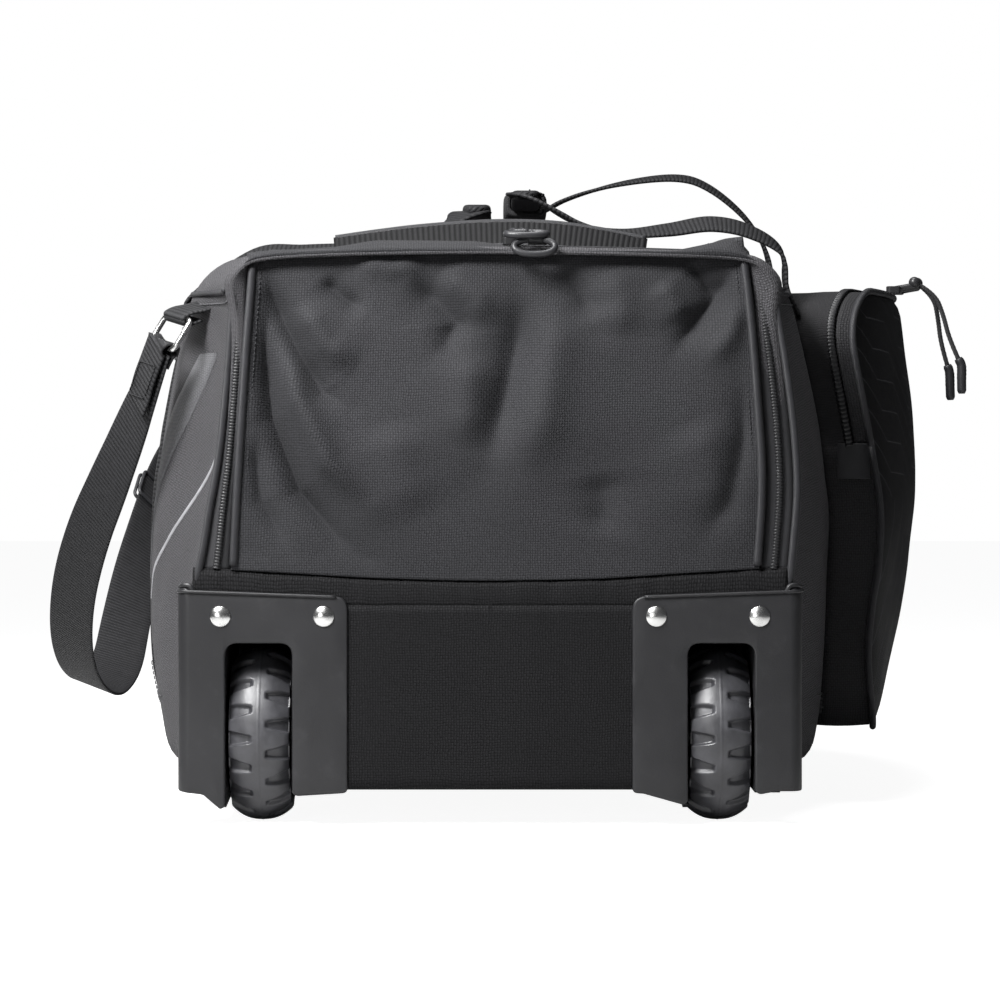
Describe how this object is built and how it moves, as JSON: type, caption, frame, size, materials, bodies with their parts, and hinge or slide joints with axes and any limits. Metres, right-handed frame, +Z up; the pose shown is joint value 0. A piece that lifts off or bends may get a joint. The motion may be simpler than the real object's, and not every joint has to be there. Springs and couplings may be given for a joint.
{
  "type": "hockey equipment bag",
  "caption": "Wheeled hockey bag with a zipped wheel-end flap, side pocket, wrapped carry handles, shoulder strap and moulded wheel housings.",
  "frame": {"origin": "middle of the footprint of the bag without its free strap and cords, on the ground", "axes": "+Z up, +Y from the wheel end to the far end, +X to the side of the pocket"},
  "size_m": [0.645, 0.8764, 0.4463],
  "materials": {
    "black_canvas": "woven",
    "pocket_fabric": "smooth woven",
    "grey_band": "woven",
    "piping": "satin",
    "zip_tape": "matte",
    "zip_metal": "black",
    "moulded_pulls": "satin",
    "pull_cord": "braided",
    "webbing": "ribbed",
    "sleeve_pad": "padded",
    "bright_steel": "polished",
    "plain_steel": "plain",
    "housing_plastic": "fine grained",
    "board_plastic": "plain sheet",
    "tyre": "satin",
    "hub_plastic": "satin",
    "grip_rubber": "matte"
  },
  "bodies": {
    "root": {"body_shell": "black_canvas", "base_wrap": "black_canvas", "end_board": "board_plastic", "base_board": "board_plastic", "backing_plates": "plain_steel", "housing_rivets": "bright_steel", "wheel_housing_left": "housing_plastic", "wheel_housing_right": "housing_plastic", "axle_left": "plain_steel", "axle_right": "plain_steel", "skid_rails": "housing_plastic", "rail_screws": "plain_steel", "far_feet": "housing_plastic", "end_zip": "zip_tape", "end_piping": "piping", "handle_webbing_left": "webbing", "handle_webbing_right": "webbing", "strap_ring_near": "bright_steel", "strap_ring_far": "bright_steel", "strap_tab_near": "webbing", "strap_tab_far": "webbing", "shoulder_strap": "webbing", "strap_slide": "moulded_pulls", "pocket_tub": "pocket_fabric", "pocket_zip": "zip_tape", "main_zip": "zip_tape", "side_band": "grey_band", "side_line": "grey_band", "tow_tabs": "webbing"},
    "wheel_left": {"tyre_left": "tyre", "hub_left": "hub_plastic", "bush_left": "hub_plastic"},
    "wheel_right": {"tyre_right": "tyre", "hub_right": "hub_plastic", "bush_right": "hub_plastic"},
    "flap": {"end_flap": "black_canvas", "flap_piping": "piping", "flap_tape": "zip_tape"},
    "slider_upper": {"zip_slider_upper": "zip_metal"},
    "slider_lower": {"zip_slider_lower": "zip_metal"},
    "pull_upper": {"zip_pull_upper": "moulded_pulls"},
    "pull_lower": {"zip_pull_lower": "moulded_pulls"},
    "handle_left": {"carry_handle_left": "webbing"},
    "handle_right": {"carry_handle_right": "webbing", "handle_sleeve": "sleeve_pad"},
    "grab": {"grab_handle": "webbing"},
    "tow": {"tow_handle": "webbing", "tow_grip": "grip_rubber"},
    "pocket_cover": {"pocket_cap": "pocket_fabric"},
    "pocket_runner_a": {"pocket_slider_a": "zip_metal", "pull_cord_a": "pull_cord", "pull_sleeve_a": "moulded_pulls"},
    "pocket_runner_b": {"pocket_slider_b": "zip_metal", "pull_cord_b": "pull_cord", "pull_sleeve_b": "moulded_pulls"},
    "top_runner": {"main_slider": "zip_metal"},
    "top_pull": {"main_pull": "zip_metal"}
  },
  "joints": [
    {"name": "wheel_left_spin", "type": "hinge", "parent": "root", "child": "wheel_left", "pos_m": [-0.17599, -0.38232, 0.055], "axis": [1, 0, 0], "continuous": true},
    {"name": "wheel_right_spin", "type": "hinge", "parent": "root", "child": "wheel_right", "pos_m": [0.11501, -0.38232, 0.055], "axis": [1, 0, 0], "continuous": true},
    {"name": "flap_open", "type": "hinge", "parent": "root", "child": "flap", "pos_m": [-0.03049, -0.42732, 0.1588], "axis": [1, 0, 0], "range_deg": [0, 100]},
    {"name": "zip_upper_run", "type": "slide", "parent": "flap", "child": "slider_upper", "axis": [-1, 0, 0], "range_m": [0, 0.13]},
    {"name": "zip_lower_run", "type": "slide", "parent": "flap", "child": "slider_lower", "axis": [1, 0, 0], "range_m": [0, 0.09]},
    {"name": "pull_upper_flip", "type": "hinge", "parent": "slider_upper", "child": "pull_upper", "pos_m": [-0.01649, -0.41382, 0.37345], "axis": [-1, 0, 0], "range_deg": [0, 60]},
    {"name": "pull_lower_flip", "type": "hinge", "parent": "slider_lower", "child": "pull_lower", "pos_m": [-0.00049, -0.41382, 0.37345], "axis": [-1, 0, 0], "range_deg": [0, 4]},
    {"name": "handle_left_flop", "type": "hinge", "parent": "root", "child": "handle_left", "pos_m": [-0.23649, -0.42732, 0.356], "axis": [0, -1, 0], "range_deg": [0, 75]},
    {"name": "handle_right_flop", "type": "hinge", "parent": "root", "child": "handle_right", "pos_m": [0.17551, -0.42732, 0.356], "axis": [0, 1, 0], "range_deg": [0, 60]},
    {"name": "grab_lift", "type": "hinge", "parent": "root", "child": "grab", "pos_m": [-0.03049, -0.39331, 0.3655], "axis": [1, 0, 0], "range_deg": [0, 55]},
    {"name": "tow_lift", "type": "hinge", "parent": "root", "child": "tow", "pos_m": [-0.03049, 0.41028, 0.318], "axis": [1, 0, 0], "range_deg": [0, 100]},
    {"name": "pocket_open", "type": "hinge", "parent": "root", "child": "pocket_cover", "pos_m": [0.27051, -0.42732, 0.232], "axis": [0, 1, 0], "range_deg": [0, 90]},
    {"name": "pocket_zip_run_a", "type": "slide", "parent": "pocket_cover", "child": "pocket_runner_a", "axis": [-0.2464, -0.9692, 0], "range_m": [0, 0.025]},
    {"name": "pocket_zip_run_b", "type": "slide", "parent": "pocket_cover", "child": "pocket_runner_b", "axis": [0.1164, 0.9932, 0], "range_m": [0, 0.09]},
    {"name": "top_zip_run", "type": "slide", "parent": "root", "child": "top_runner", "axis": [0, -1, 0], "range_m": [0, 0.4]},
    {"name": "top_pull_flip", "type": "hinge", "parent": "top_runner", "child": "top_pull", "pos_m": [-0.03049, 0.17268, 0.38645], "axis": [1, 0, 0], "range_deg": [0, 80]}
  ]
}
